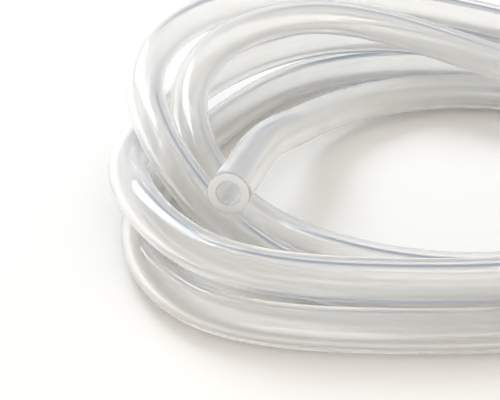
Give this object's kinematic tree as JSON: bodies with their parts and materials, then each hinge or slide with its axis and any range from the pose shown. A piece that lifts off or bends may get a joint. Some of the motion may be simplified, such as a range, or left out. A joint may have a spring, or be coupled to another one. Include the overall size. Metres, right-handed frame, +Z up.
{
  "type": "silicone tubing coil",
  "caption": "Loose hand-wound coil of clear soft silicone laboratory tubing, lying flat, with square-cut open ends that push onto barbed connectors.",
  "frame": {"origin": "middle of the coil's footprint on the surface that it lies on", "axes": "+Z up off that surface, -Y towards the side that the free end on top points at, +X to the right as seen from there"},
  "size_m": [0.1642, 0.1626, 0.0352],
  "materials": {
    "clear_silicone": "smooth, glossy, translucent"
  },
  "bodies": {
    "root": {"tube": "clear_silicone"}
  },
  "joints": []
}
